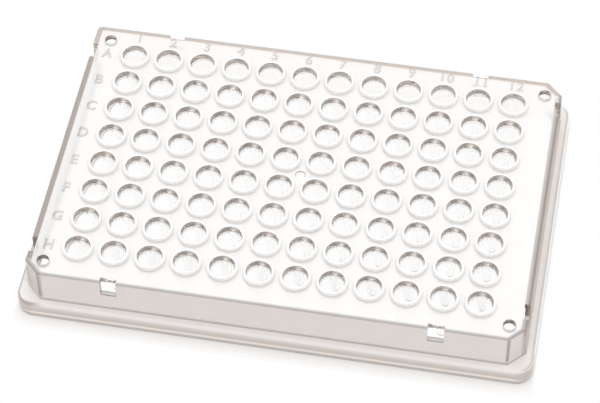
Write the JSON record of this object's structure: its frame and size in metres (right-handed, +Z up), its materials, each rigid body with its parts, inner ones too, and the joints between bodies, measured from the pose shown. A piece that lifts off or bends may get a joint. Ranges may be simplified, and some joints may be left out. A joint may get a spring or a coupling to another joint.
{
  "type": "well plate",
  "caption": "Skirted well plate: a clear moulding with a grid of tapered wells under a flat deck, raised rims for a seal, and a stepped skirt to stand on.",
  "frame": {"origin": "middle of the footprint, at the base that the skirt stands on", "axes": "+X along the long side from column 1 to column 12, +Y along the short side towards row A, +Z up"},
  "size_m": [0.1278, 0.0854, 0.0161],
  "materials": {
    "clear_plastic": "clear colourless moulded plastic, glossy"
  },
  "bodies": {
    "root": {"well_plate": "clear_plastic"}
  },
  "joints": []
}
